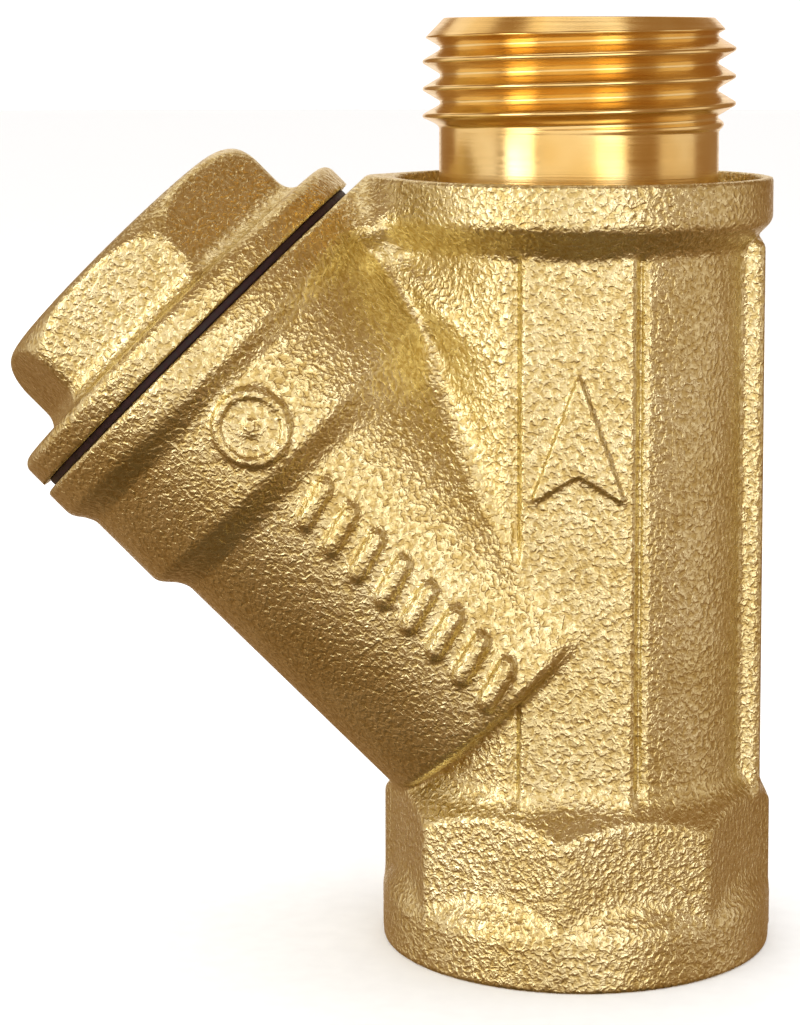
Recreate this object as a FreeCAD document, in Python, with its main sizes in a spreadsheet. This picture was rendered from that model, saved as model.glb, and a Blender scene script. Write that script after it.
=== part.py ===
# Brass Y strainer, DN15: G1/2 female inlet below, G1/2 male outlet above, screen branch at 45 degrees.
# Frame: origin at the centre of the inlet's end face, +Z along the run towards the outlet,
# branch leaning towards -X and +Z. Lengths are in millimetres, angles in degrees.
# Levels named on the branch or on a piece inside it are distances along the branch axis
# from the point where that axis crosses the run's axis.
import FreeCAD, Part
import Sketcher
import os

DIMENSIONS = [
    # Run, outside
    ("rim_radius", 13.25, "round rim of the inlet end, and corners of its octagon"),
    ("rim_chamfer", 0.4, "edge break of the inlet's end face"),
    ("rim_top", 4.3, "where the eight wrench flats begin"),
    ("shoulder_start", 9.7, "where the octagon's corners begin to round over"),
    ("shoulder_top", 11.9, "top of the octagon's shoulder"),
    ("shoulder_radius", 12.1, "radius of the shoulder at its top"),
    ("barrel_radius", 11.3, "forged barrel between the shoulder and the collar"),
    ("pad_half_width", 3.83, "flat pads along the barrel's front and back"),
    ("pad_face", 11.5, "distance of those pads from the axis"),
    ("rib_half_width", 3.3, "rib along the barrel's side away from the branch"),
    ("rib_face", 12.5, "distance of the rib's face from the axis"),
    ("pad_bottom", 13.1, "lower end of pads and rib"),
    ("pad_top", 47.8, "upper end of pads and rib"),
    ("collar_bottom", 48.5, "underside of the collar"),
    ("collar_bottom_radius", 12.3, "radius of the collar at its underside"),
    ("collar_edge", 49.5, "where the collar reaches its full radius"),
    ("collar_radius", 13.0, "collar round the outlet nipple"),
    ("collar_top", 51.8, "top of the collar's rim"),
    ("cup_radius", 12.3, "turned recess inside the collar's rim"),
    ("cup_depth", 2.0, "depth of that recess"),
    ("shank_radius", 9.3, "plain shank below the outlet thread"),
    ("shank_top", 54.8, "where the outlet thread begins"),
    ("outlet_radius", 10.4775, "major radius of the G1/2 outlet thread"),
    ("nose_start", 61.2, "where the thread's end chamfer begins"),
    ("nose_radius", 9.1, "radius of the nipple's end face"),
    ("run_length", 62.5, "face to face"),
    # Run, inside
    ("inlet_radius", 9.3155, "minor radius of the G1/2 inlet thread"),
    ("inlet_depth", 11.0, "depth of the inlet thread"),
    ("passage_radius", 7.25, "inlet passage and outlet bore"),
    ("passage_top", 16.5, "upper end of the inlet passage"),
    ("outlet_floor", 27.5, "lower end of the outlet bore, above the dividing wall"),
    # Branch, outside
    ("branch_angle", 45.0, "lean of the branch from the run"),
    ("branch_root", 15.25, "height at which the branch axis crosses the run's axis"),
    ("branch_start", 5.5, "inner end face of the branch barrel"),
    ("branch_start_radius", 12.15, "branch barrel at its inner end"),
    ("branch_neck", 25.5, "where the barrel begins to widen"),
    ("branch_neck_radius", 12.4, "branch barrel below the widening"),
    ("mouth_barrel_start", 27.0, "lower end of the wide barrel round the cap thread"),
    ("mouth_barrel_radius", 13.7, "wide barrel round the cap thread"),
    ("mouth_flange_start", 32.7, "where the mouth's flange begins to widen"),
    ("mouth_flange_full", 33.6, "where the flange reaches its full radius"),
    ("mouth_flange_radius", 14.65, "flange round the mouth"),
    ("mouth_level", 36.05, "sealing face of the mouth"),
    # Branch, inside
    ("seat_drill_start", -4.0, "inner end of the hole through the dividing wall"),
    ("seat_radius", 7.0, "hole through the dividing wall"),
    ("screen_seat", 5.6, "shoulder that the screen's inner ring stands on"),
    ("seat_recess_radius", 8.85, "recess round the inner ring"),
    ("chamber_floor", 7.6, "floor of the screen chamber"),
    ("chamber_radius", 10.3, "screen chamber"),
    ("cap_thread_floor", 26.5, "lower end of the cap's thread in the branch"),
    ("cap_bore_radius", 11.6, "cap thread in the branch, at its pitch radius with clearance"),
    ("mouth_chamfer", 0.5, "chamfer of the cap thread at the mouth"),
    # Raised marks
    ("arrow_face", 11.95, "distance of the flow arrow's face from the axis"),
    ("arrow_tip", 39.5, "height of the arrow's point"),
    ("arrow_tail", 31.8, "height of its two tails"),
    ("arrow_notch", 33.5, "height of the notch between the tails"),
    ("arrow_half_width", 2.8, "half the span of the tails"),
    ("badge_face", 14.1, "distance of the badge's face from the branch axis"),
    ("badge_level", 29.7, "centre of the badge along the branch"),
    ("badge_offset", 0.58, "centre of the badge across the branch"),
    ("badge_radius", 2.5, "round badge"),
    ("bar_face", 12.8, "distance of the raised bars' faces from the branch axis"),
    ("bar_first", 5.9, "lowest edge of the first bar along the branch"),
    ("bar_width", 1.35, "width of a bar"),
    ("bar_height", 3.5, "length of a bar across the branch"),
    ("bar_lean", 0.9, "how far a bar's end leans along the branch"),
    ("bar_bottom", -1.95, "lower end of a bar across the branch"),
    ("bar_row", 16.4, "distance from the first bar to the last"),
    # Cap
    ("cap_end", 29.5, "inner end of the cap's threaded spigot"),
    ("cap_thread_radius", 11.5, "spigot thread at its pitch radius"),
    ("undercut_start", 35.3, "thread undercut below the cap's flange"),
    ("undercut_radius", 10.9, "radius in the undercut"),
    ("cap_seat", 36.6, "underside of the cap's flange"),
    ("cap_flange_radius", 14.65, "cap's flange"),
    ("cap_flange_edge", 38.0, "where the flange's outer edge begins to round"),
    ("cap_flange_top", 38.6, "top of the flange"),
    ("cap_edge_radius", 14.0, "flange radius at its top"),
    ("cap_top", 44.5, "top of the hexagon"),
    ("hexagon_radius", 11.95, "hexagon across its corners, as a radius"),
    ("hexagon_turn", -5.6, "turn of the tightened hexagon about the branch axis"),
    ("hexagon_edge", 42.3, "where the hexagon's corners begin to round over"),
    ("hexagon_top_radius", 9.3, "radius left on the hexagon's top"),
    ("cap_socket_radius", 8.85, "socket in the cap round the screen's outer ring"),
    ("cap_socket_floor", 37.15, "floor of that socket"),
    ("cap_hollow_radius", 6.6, "hollow inside the hexagon"),
    ("cap_hollow_floor", 41.6, "top of that hollow"),
    # Gasket
    ("gasket_inner_radius", 12.15, "flat gasket, inside"),
    ("gasket_outer_radius", 14.1, "flat gasket, outside"),
    # Screen
    ("screen_end", 37.05, "outer end of the screen"),
    ("ring_radius", 8.65, "end rings"),
    ("ring_bore", 8.42, "inside of the rings' sleeves"),
    ("ring_length", 2.4, "length of a sleeve"),
    ("lip_radius", 7.5, "opening of a ring's lip"),
    ("lip_thickness", 0.3, "thickness of a lip"),
    ("tube_radius", 8.4, "perforated tube, outside"),
    ("tube_bore", 7.9, "perforated tube, inside"),
    ("lining_radius", 7.88, "woven lining, outside"),
    ("lining_bore", 7.68, "woven lining, inside"),
    ("hole_radius", 0.9, "perforation"),
    ("first_hole", 9.6, "level of the first row of perforations"),
    ("hole_rows_span", 23.4, "distance from the first row of perforations to the last"),
]
SIZE = {alias: value for alias, value, _ in DIMENSIONS}

BAR_COUNT = 8
HOLE_ROWS = 10
HOLES_ACROSS = 6  # each drilling goes through both walls of the tube, so a row has twice as many
FLATS = 8
HEXAGON = 6

doc = FreeCAD.newDocument("YStrainer")
sheet = doc.addObject("Spreadsheet::Sheet", "Dims")
for row, (alias, value, meaning) in enumerate(DIMENSIONS, start=1):
    sheet.set(f"A{row}", meaning)
    sheet.set(f"B{row}", str(value))
    sheet.setAlias(f"B{row}", alias)
doc.recompute()


# ---- Sums of dimensions -------------------------------------------------------------------------

def number(text):
    """The value of a sum of dimensions, such as "collar_top - cup_depth"."""
    total, sign = 0.0, 1
    for word in text.split():
        if word in ("+", "-"):
            sign = 1 if word == "+" else -1
        elif word != "0":
            total += sign * SIZE[word]
    return total


def formula(text):
    """The same sum as an expression on the sheet's cells."""
    return " ".join("Dims." + word if word in SIZE else word for word in text.split())


# ---- Sketches -----------------------------------------------------------------------------------

def new_sketch(body, name, plane, level="0"):
    """A sketch on one of the body's origin planes, raised along the plane's normal to level."""
    sketch = body.newObject("Sketcher::SketchObject", name)
    origin_plane = [item for item in body.Origin.OriginFeatures if item.Role == plane][0]
    sketch.AttachmentSupport = (origin_plane, [""])
    sketch.MapMode = "FlatFace"
    if level != "0":
        sketch.setExpression("AttachmentOffset.Base.z", formula(level))
    return sketch


def lean_with_branch(sketch):
    """Turn a sketch on the XZ plane so that its vertical axis is the branch axis."""
    turn = FreeCAD.Rotation(FreeCAD.Vector(0, 0, 1), SIZE["branch_angle"])
    sketch.AttachmentOffset = FreeCAD.Placement(FreeCAD.Vector(0, SIZE["branch_root"], 0), turn)
    sketch.setExpression("AttachmentOffset.Base.y", formula("branch_root"))
    sketch.setExpression("AttachmentOffset.Rotation.Angle", formula("branch_angle"))


def hold_point(sketch, line, across, along):
    """Bind the start of a line to its place across and along the sketch."""
    for kind, axis, text in (("DistanceX", -2, across), ("DistanceY", -1, along)):
        if text == "0":
            sketch.addConstraint(Sketcher.Constraint("PointOnObject", line, 1, axis))
        else:
            held = Sketcher.Constraint(kind, -1, 1, line, 1, number(text))
            sketch.setExpression(f"Constraints[{sketch.addConstraint(held)}]", formula(text))


def outline(sketch, points):
    """A closed outline of straight lines through points, each bound to the sheet."""
    corners = [FreeCAD.Vector(number(across), number(along), 0) for across, along in points]
    count = len(corners)
    for index, corner in enumerate(corners):
        sketch.addGeometry(Part.LineSegment(corner, corners[(index + 1) % count]))
    for index in range(count):
        sketch.addConstraint(Sketcher.Constraint("Coincident", index, 2, (index + 1) % count, 1))
    for index, (across, along) in enumerate(points):
        hold_point(sketch, index, across, along)
    return sketch


def ring_outline(inner, outer, start, end):
    """Outline of a plain ring's section: radii inner and outer, between two levels."""
    return [(inner, start), (outer, start), (outer, end), (inner, end)]


def circle(sketch, radius, across="0", along="0"):
    """A circle bound to the sheet; its centre is across and along from the sketch's origin."""
    centre = FreeCAD.Vector(number(across), number(along), 0)
    index = sketch.addGeometry(Part.Circle(centre, FreeCAD.Vector(0, 0, 1), number(radius)))
    size = sketch.addConstraint(Sketcher.Constraint("Radius", index, number(radius)))
    sketch.setExpression(f"Constraints[{size}]", formula(radius))
    for kind, axis, text in (("DistanceX", -2, across), ("DistanceY", -1, along)):
        if text == "0":
            sketch.addConstraint(Sketcher.Constraint("PointOnObject", index, 3, axis))
        else:
            held = Sketcher.Constraint(kind, -1, 1, index, 3, number(text))
            sketch.setExpression(f"Constraints[{sketch.addConstraint(held)}]", formula(text))
    return index


def polygon(sketch, sides, radius):
    """A regular polygon round the origin with one corner on the sketch's horizontal axis."""
    guide = circle(sketch, radius)
    sketch.setConstruction(guide, True)
    along_axis = FreeCAD.Vector(number(radius), 0, 0)
    step = FreeCAD.Rotation(FreeCAD.Vector(0, 0, 1), 360.0 / sides)
    corners = [along_axis]
    for _ in range(sides - 1):
        corners.append(step.multVec(corners[-1]))
    first = guide + 1
    for index, corner in enumerate(corners):
        sketch.addGeometry(Part.LineSegment(corner, corners[(index + 1) % sides]))
    sketch.addConstraint(Sketcher.Constraint("PointOnObject", first, 1, -1))
    for index in range(sides):
        line, following = first + index, first + (index + 1) % sides
        sketch.addConstraint(Sketcher.Constraint("Coincident", line, 2, following, 1))
        sketch.addConstraint(Sketcher.Constraint("PointOnObject", line, 1, guide))
        if index:
            sketch.addConstraint(Sketcher.Constraint("Equal", first, line))


# ---- Features -----------------------------------------------------------------------------------

def new_body(label, on_branch=False):
    """A body with its own label; those on the branch have the branch axis as their own Z."""
    body = doc.addObject("PartDesign::Body", label)
    body.Label = label
    if on_branch:
        lean = FreeCAD.Rotation(FreeCAD.Vector(0, -1, 0), SIZE["branch_angle"])
        body.Placement = FreeCAD.Placement(FreeCAD.Vector(0, 0, SIZE["branch_root"]), lean)
        body.setExpression("Placement.Base.z", formula("branch_root"))
        body.setExpression("Placement.Rotation.Angle", formula("branch_angle"))
    return body


def turned(body, name, kind, points, branch=False):
    """Revolve a section about the sketch's vertical axis: kind is Revolution or Groove."""
    sketch = new_sketch(body, name + "Section", "XZ_Plane")
    if branch:
        lean_with_branch(sketch)
    outline(sketch, points)
    feature = body.newObject("PartDesign::" + kind, name)
    feature.Profile = sketch
    feature.ReferenceAxis = (sketch, ["V_Axis"])
    feature.Angle = 360.0
    recompute_and_compare(body, feature, grows=kind == "Revolution")
    return feature


def prism(body, name, kind, sketch, length, symmetric=False, reverse=False):
    """Extrude a sketch: kind is Pad or Pocket."""
    feature = body.newObject("PartDesign::" + kind, name)
    feature.Profile = sketch
    feature.setExpression("Length", formula(length))
    if symmetric:
        feature.SideType = "Symmetric"
    feature.Reversed = reverse
    recompute_and_compare(body, feature, grows=kind == "Pad")
    return feature


def recompute_and_compare(body, feature, grows):
    """Stop if a feature failed to add or to take away material."""
    doc.recompute()
    before = feature.BaseFeature.Shape.Volume if feature.BaseFeature else 0.0
    gain = body.Shape.Volume - before
    if (gain <= 0.0) if grows else (gain >= 0.0):
        raise RuntimeError(f"{body.Label}: {feature.Name} changed the volume by {gain:.3f}")


# ---- The strainer's body ------------------------------------------------------------------------

def make_body():
    """One forging: run, collar, outlet nipple and branch, with its passages machined in."""
    body = new_body("body")
    turned(body, "Run", "Revolution", [
        ("0", "0"), ("rim_radius - rim_chamfer", "0"), ("rim_radius", "rim_chamfer"),
        ("rim_radius", "shoulder_start"), ("shoulder_radius", "shoulder_top"),
        ("barrel_radius", "shoulder_top"), ("barrel_radius", "collar_bottom"),
        ("collar_bottom_radius", "collar_bottom"), ("collar_radius", "collar_edge"),
        ("collar_radius", "collar_top"), ("shank_radius", "collar_top"),
        ("shank_radius", "shank_top"), ("outlet_radius", "shank_top"),
        ("outlet_radius", "nose_start"), ("nose_radius", "run_length"), ("0", "run_length")])
    wrench_flats(body)
    barrel_pads(body)
    turned(body, "Branch", "Revolution", [
        ("0", "branch_start"), ("branch_start_radius", "branch_start"),
        ("branch_neck_radius", "branch_neck"), ("mouth_barrel_radius", "mouth_barrel_start"),
        ("mouth_barrel_radius", "mouth_flange_start"), ("mouth_flange_radius", "mouth_flange_full"),
        ("mouth_flange_radius", "mouth_level"), ("0", "mouth_level")], branch=True)
    flow_arrow(body)
    badge_and_bars(body)
    passages(body)
    return body


def wrench_flats(body):
    """Eight flats above the inlet's round rim, with a corner facing forwards."""
    sketch = new_sketch(body, "FlatsSection", "XY_Plane", "rim_top")
    polygon(sketch, FLATS, "rim_radius")
    circle(sketch, "rim_radius + rim_radius - barrel_radius")
    prism(body, "WrenchFlats", "Pocket", sketch, "shoulder_top - rim_top", reverse=True)


def barrel_pads(body):
    """Flat pads along the barrel's front and back, and a rib on the side away from the branch."""
    for name, right, left, reach in (
            ("Pads", "pad_half_width", "- pad_half_width", "pad_face + pad_face"),
            ("Rib", "rib_face", "0", "rib_half_width + rib_half_width")):
        sketch = new_sketch(body, name + "Section", "XZ_Plane")
        outline(sketch, ring_outline(left, right, "pad_bottom", "pad_top"))
        prism(body, name, "Pad", sketch, reach, symmetric=True)


def flow_arrow(body):
    """A raised arrowhead on the front pad, pointing to the outlet."""
    sketch = new_sketch(body, "ArrowOutline", "XZ_Plane")
    outline(sketch, [("0", "arrow_notch"), ("arrow_half_width", "arrow_tail"), ("0", "arrow_tip"),
                     ("- arrow_half_width", "arrow_tail")])
    prism(body, "FlowArrow", "Pad", sketch, "arrow_face")


def badge_and_bars(body):
    """A plain round badge and a row of plain leaning bars raised from the branch's front."""
    badge = new_sketch(body, "BadgeOutline", "XZ_Plane")
    lean_with_branch(badge)
    circle(badge, "badge_radius", "badge_offset", "badge_level")
    prism(body, "Badge", "Pad", badge, "badge_face")

    bar = new_sketch(body, "BarOutline", "XZ_Plane")
    lean_with_branch(bar)
    outline(bar, [
        ("bar_bottom", "bar_first"), ("bar_bottom + bar_height", "bar_first + bar_lean"),
        ("bar_bottom + bar_height", "bar_first + bar_lean + bar_width"),
        ("bar_bottom", "bar_first + bar_width")])
    first_bar = prism(body, "FirstBar", "Pad", bar, "bar_face")
    row = body.newObject("PartDesign::LinearPattern", "BarRow")
    row.Originals = [first_bar]
    row.Direction = (bar, ["V_Axis"])
    row.setExpression("Length", formula("bar_row"))
    row.Occurrences = BAR_COUNT
    body.Tip = row
    doc.recompute()


def passages(body):
    """Inlet, dividing wall with the screen's seat, screen chamber, cap thread and outlet bore."""
    turned(body, "Inlet", "Groove", [
        ("0", "0"), ("inlet_radius", "0"), ("inlet_radius", "inlet_depth"),
        ("passage_radius", "inlet_depth"), ("passage_radius", "passage_top"), ("0", "passage_top")])
    turned(body, "Outlet", "Groove",
           ring_outline("0", "passage_radius", "outlet_floor", "run_length"))
    turned(body, "CollarCup", "Groove",
           ring_outline("shank_radius", "cup_radius", "collar_top - cup_depth", "collar_top"))
    turned(body, "ScreenChamber", "Groove", [
        ("0", "seat_drill_start"), ("seat_radius", "seat_drill_start"),
        ("seat_radius", "screen_seat"), ("seat_recess_radius", "screen_seat"),
        ("seat_recess_radius", "chamber_floor"), ("chamber_radius", "chamber_floor"),
        ("chamber_radius", "cap_thread_floor"), ("cap_bore_radius", "cap_thread_floor"),
        ("cap_bore_radius", "mouth_level - mouth_chamfer"),
        ("cap_bore_radius + mouth_chamfer", "mouth_level"), ("0", "mouth_level")], branch=True)


# ---- Cap and gasket -----------------------------------------------------------------------------

def make_cap():
    """Screw cap: threaded spigot, sealing flange and hexagon, hollow for the screen's end."""
    cap = new_body("cap", on_branch=True)
    turned(cap, "Flange", "Revolution", [
        ("0", "cap_end"), ("cap_thread_radius - mouth_chamfer", "cap_end"),
        ("cap_thread_radius", "cap_end + mouth_chamfer"), ("cap_thread_radius", "undercut_start"),
        ("undercut_radius", "undercut_start"), ("undercut_radius", "cap_seat"),
        ("cap_flange_radius", "cap_seat"), ("cap_flange_radius", "cap_flange_edge"),
        ("cap_edge_radius", "cap_flange_top"), ("0", "cap_flange_top")])
    sketch = new_sketch(cap, "HexagonOutline", "XY_Plane")
    polygon(sketch, HEXAGON, "hexagon_radius")
    sketch.setExpression("AttachmentOffset.Base.z", formula("cap_flange_top"))
    sketch.setExpression("AttachmentOffset.Rotation.Yaw", formula("hexagon_turn"))
    prism(cap, "Hexagon", "Pad", sketch, "cap_top - cap_flange_top")
    turned(cap, "RoundedCorners", "Groove", [
        ("hexagon_top_radius", "cap_top"), ("hexagon_radius", "hexagon_edge"),
        ("hexagon_radius + mouth_chamfer", "hexagon_edge"),
        ("hexagon_radius + mouth_chamfer", "cap_top")])
    turned(cap, "Socket", "Groove", [
        ("0", "cap_end"), ("cap_socket_radius", "cap_end"), ("cap_socket_radius", "cap_socket_floor"),
        ("cap_hollow_radius", "cap_socket_floor"), ("cap_hollow_radius", "cap_hollow_floor"),
        ("0", "cap_hollow_floor")])
    return cap


def make_ring(label, inner, outer, start, end):
    """A plain ring or tube about the branch axis."""
    ring = new_body(label, on_branch=True)
    turned(ring, "Ring", "Revolution", ring_outline(inner, outer, start, end))
    return ring


# ---- Screen -------------------------------------------------------------------------------------

def make_screen_tube():
    """Perforated tube that carries the woven lining."""
    tube = make_ring("screen_support_tube", "tube_bore", "tube_radius",
                     "screen_seat + lip_thickness", "screen_end - lip_thickness")
    sketch = new_sketch(tube, "HoleOutline", "XZ_Plane")
    circle(sketch, "hole_radius", "0", "first_hole")
    hole = prism(tube, "FirstHole", "Pocket", sketch, "tube_radius + tube_radius + hole_radius",
                 symmetric=True)
    grid = tube.newObject("PartDesign::MultiTransform", "Perforations")
    along = tube.newObject("PartDesign::LinearPattern", "HolesAlong")
    along.Direction = (sketch, ["V_Axis"])
    along.setExpression("Length", formula("hole_rows_span"))
    along.Occurrences = HOLE_ROWS
    around = tube.newObject("PartDesign::PolarPattern", "HolesAround")
    around.Axis = (sketch, ["V_Axis"])
    around.Angle = 180.0 * (HOLES_ACROSS - 1) / HOLES_ACROSS
    around.Occurrences = HOLES_ACROSS
    grid.Originals = [hole]
    grid.Transformations = [along, around]
    tube.Tip = grid
    doc.recompute()
    return tube


def make_screen_ring(label, outer_face, towards_middle):
    """End ring: a sleeve round the tube and a lip over its end, opening towards the middle."""
    ring = new_body(label, on_branch=True)
    turned(ring, "Ring", "Revolution", [
        ("lip_radius", outer_face), ("ring_radius", outer_face),
        ("ring_radius", f"{outer_face} {towards_middle} ring_length"),
        ("ring_bore", f"{outer_face} {towards_middle} ring_length"),
        ("ring_bore", f"{outer_face} {towards_middle} lip_thickness"),
        ("lip_radius", f"{outer_face} {towards_middle} lip_thickness")])
    return ring


# ---- Build, check and write ---------------------------------------------------------------------

pieces = [
    make_body(),
    make_cap(),
    make_ring("gasket", "gasket_inner_radius", "gasket_outer_radius", "mouth_level", "cap_seat"),
    make_screen_tube(),
    make_ring("screen_lining", "lining_bore", "lining_radius",
              "screen_seat + lip_thickness", "screen_end - lip_thickness"),
    make_screen_ring("screen_inner_ring", "screen_seat", "+"),
    make_screen_ring("screen_outer_ring", "screen_end", "-"),
]
doc.recompute()

for item in doc.Objects:
    if "Invalid" in item.State or "Error" in item.State:
        raise RuntimeError(f"{item.Label} failed: {item.State}")
for piece in pieces:
    if piece.Shape.isNull() or not piece.Shape.isValid():
        raise RuntimeError(f"{piece.Label} has no valid shape")

os.makedirs("parts", exist_ok=True)
for piece in pieces:
    piece.Shape.exportStep(f"parts/{piece.Label}.step")
    box = piece.Shape.BoundBox
    print(f"{piece.Label}: {piece.Shape.Volume:.1f} mm3, {len(piece.Shape.Solids)} solid, "
          f"x {box.XMin:.2f} to {box.XMax:.2f}, y {box.YMin:.2f} to {box.YMax:.2f}, "
          f"z {box.ZMin:.2f} to {box.ZMax:.2f}")
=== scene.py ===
"""Looks of a brass Y strainer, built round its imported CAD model.

Lengths below are in millimetres in the CAD's own frame: +Z up the run, the branch leaning to -X
and +Z, the flow arrow facing -Y. mesh_object turns them into Blender's metres.
Levels on the branch are distances along its axis from where that axis crosses the run's.
"""
import math

import bpy
import numpy as np
from mathutils import Matrix, Vector

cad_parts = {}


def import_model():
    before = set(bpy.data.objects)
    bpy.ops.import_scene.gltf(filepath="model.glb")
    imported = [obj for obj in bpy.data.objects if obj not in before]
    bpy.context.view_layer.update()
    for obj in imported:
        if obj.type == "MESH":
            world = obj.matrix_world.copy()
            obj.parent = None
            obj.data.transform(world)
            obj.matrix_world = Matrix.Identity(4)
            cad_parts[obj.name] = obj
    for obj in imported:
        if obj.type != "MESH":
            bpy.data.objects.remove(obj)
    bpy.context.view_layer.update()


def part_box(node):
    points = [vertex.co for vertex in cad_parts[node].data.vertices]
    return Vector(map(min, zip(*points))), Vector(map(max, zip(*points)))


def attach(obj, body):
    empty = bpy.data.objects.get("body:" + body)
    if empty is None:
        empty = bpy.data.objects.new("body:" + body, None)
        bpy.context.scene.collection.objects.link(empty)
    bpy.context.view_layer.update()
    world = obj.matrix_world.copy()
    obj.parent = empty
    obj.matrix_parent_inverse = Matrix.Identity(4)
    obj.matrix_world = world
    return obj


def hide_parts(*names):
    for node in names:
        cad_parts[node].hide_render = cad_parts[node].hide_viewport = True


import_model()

METRES = 0.001
TURN = 2 * math.pi

# ---- Driving dimensions, in millimetres ---------------------------------------------------------
RUN_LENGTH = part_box("body")[1].z / METRES
RIM_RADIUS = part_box("body")[1].x / METRES
RIM_TOP = 3.5
OCTAGON_TURN = math.radians(-3.9)
SHOULDER_FOOT, SHOULDER_TOP = 9.65, 12.6
BARREL_RADIUS = 11.3
PAD_HALF_WIDTH = 3.75
PAD_FACE = 10.9
PAD_BOTTOM, PAD_TOP = 10.5, 47.9
GROOVE_WIDTH, GROOVE_DEPTH = 0.24, 0.36
RIB_HALF_WIDTH = 3.4
RIB_FACE = 12.38
COLLAR_BOTTOM, COLLAR_EDGE, COLLAR_TOP = 47.2, 49.05, 51.95
COLLAR_RADIUS = 13.0
CUP_RADIUS, CUP_FLOOR = 12.3, 49.95
SHANK_RADIUS = 9.37
SHANK_TOP = 54.6
PASSAGE_RADIUS = 7.25
PASSAGE_TOP = 16.5
OUTLET_FLOOR = 27.5

BRANCH_ROOT = 15.25
BRANCH_START = 4.95
BRANCH_RADIUS = 12.27
BRANCH_TAPER = 0.011
MOUTH_BARREL_START, MOUTH_BARREL_EDGE, MOUTH_BARREL_RADIUS = 25.1, 26.7, 13.7
MOUTH_FLANGE_START, MOUTH_FLANGE_EDGE, MOUTH_FLANGE_RADIUS = 32.7, 33.9, 14.62
MOUTH_LEVEL = 36.05
PARTING_LINE_HEIGHT, PARTING_LINE_WIDTH = 0.06, 0.5
SEAT_RADIUS, SCREEN_SEAT = 7.0, 5.6
SEAT_RECESS_RADIUS, CHAMBER_FLOOR = 8.85, 7.6
CHAMBER_RADIUS = 10.3
CAP_THREAD_FLOOR = 26.5

PIPE_PITCH = 25.4 / 14
PIPE_MAJOR, PIPE_MINOR = 10.4775, 9.3155
PIPE_CREST_TURN = 0.33
INLET_DEPTH = 11.0
CAP_PITCH = 1.5
CAP_MAJOR, CAP_MINOR = 11.95, 11.05

GASKET_TOP = 36.6
GASKET_BORE, GASKET_RADIUS, GASKET_SEGMENTS = 12.15, 13.9, 128
CAP_FLANGE_RADIUS, CAP_FLANGE_TOP = 14.42, 38.65
CAP_TOP = 44.5
CAP_END = 29.5
HEXAGON_APOTHEM, HEXAGON_CIRCLE = 10.08, 11.5
HEXAGON_TURN = math.radians(-5.6)
SOCKET_RADIUS, SOCKET_FLOOR = 8.85, 37.15
HOLLOW_RADIUS, HOLLOW_FLOOR = 6.6, 41.6

SCREEN_END = 37.05
RING_RADIUS, RING_LENGTH, LIP_RADIUS, SHEET = 8.65, 2.4, 7.5, 0.25
RING_SEGMENTS = 96
TUBE_RADIUS, TUBE_BORE = 8.4, 7.9
HOLES_ROUND, HOLE_ROWS, HOLE_RADIUS = 26, 17, 0.62
LINING_RADIUS = 7.78
WIRES_ALONG, WIRE_HOOPS, WIRE = 60, 38, 0.16

# The branch's own frame: its Z is the branch axis, its X leans up and towards +X, its Y is the
# CAD's.
BRANCH = (Matrix.Translation(Vector((0, 0, BRANCH_ROOT)) * METRES)
          @ Matrix.Rotation(-TURN / 8, 4, "Y"))


# ---- Distance fields ----------------------------------------------------------------------------
# Each function takes coordinate arrays in millimetres and gives the distance to a solid's surface,
# negative inside. A soft union or cut rounds the corner between two solids over about its last
# argument.

def soft_min(a, b, blend):
    share = np.clip(0.5 + 0.5 * (b - a) / blend, 0, 1)
    return b + (a - b) * share - blend * share * (1 - share)


def soft_max(a, b, blend):
    return -soft_min(-a, -b, blend)


def soft_cut(solid, tool, blend=0.15):
    return soft_max(solid, -tool, blend)


def smooth_step(value, low, high):
    share = np.clip((value - low) / (high - low), 0, 1)
    return share * share * (3 - 2 * share)


def rounded_corner(side, end):
    """The distance to where two square faces meet, true outside the corner too."""
    outside = np.hypot(np.maximum(side, 0), np.maximum(end, 0))
    return np.minimum(np.maximum(side, end), 0) + outside


def rounded_rod(radius_here, level, radius, low, high, edge):
    """A round bar between two levels, its end edges rounded by edge."""
    side = radius_here - radius + edge
    end = np.abs(level - (low + high) / 2) - (high - low) / 2 + edge
    return rounded_corner(side, end) - edge


def cone(radius_here, level, radius, edge_level, outward, upward):
    """A cone's side through the circle at radius and edge_level; outward, upward is its normal."""
    return (radius_here - radius) * outward + (level - edge_level) * upward


def rounded_box(across, up, half_across, half_up, edge):
    """A flat rectangle with rounded corners, about the origin."""
    side = np.abs(across) - half_across + edge
    end = np.abs(up) - half_up + edge
    return rounded_corner(side, end) - edge


def regular_prism(x, y, sides, apothem, turn, blend):
    """A prism about Z; one of its corners is at the angle turn from +X."""
    result = None
    for index in range(sides):
        angle = turn + (index + 0.5) * TURN / sides
        face = x * math.cos(angle) + y * math.sin(angle) - apothem
        result = face if result is None else soft_max(result, face, blend)
    return result


def polygon(across, up, corners):
    """A flat closed outline through corners."""
    nearest = np.full(np.broadcast(across, up).shape, 1e9, np.float32)
    inside = np.zeros(nearest.shape, bool)
    for (x0, y0), (x1, y1) in zip(corners, corners[1:] + corners[:1]):
        run, rise = x1 - x0, y1 - y0
        share = np.clip(((across - x0) * run + (up - y0) * rise) / (run * run + rise * rise), 0, 1)
        gap = (across - x0 - share * run) ** 2 + (up - y0 - share * rise) ** 2
        nearest = np.minimum(nearest, gap)
        if rise:
            crossing = (up >= min(y0, y1)) & (up < max(y0, y1))
            inside ^= crossing & (across < x0 + (up - y0) * run / rise)
    return np.where(inside, -1, 1) * np.sqrt(nearest)


def branch_coordinates(x, z):
    """Across and along the branch, in the plane of symmetry."""
    rise = z - BRANCH_ROOT
    return (x + rise) * math.sqrt(0.5), (rise - x) * math.sqrt(0.5)


# ---- The forging --------------------------------------------------------------------------------

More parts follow.
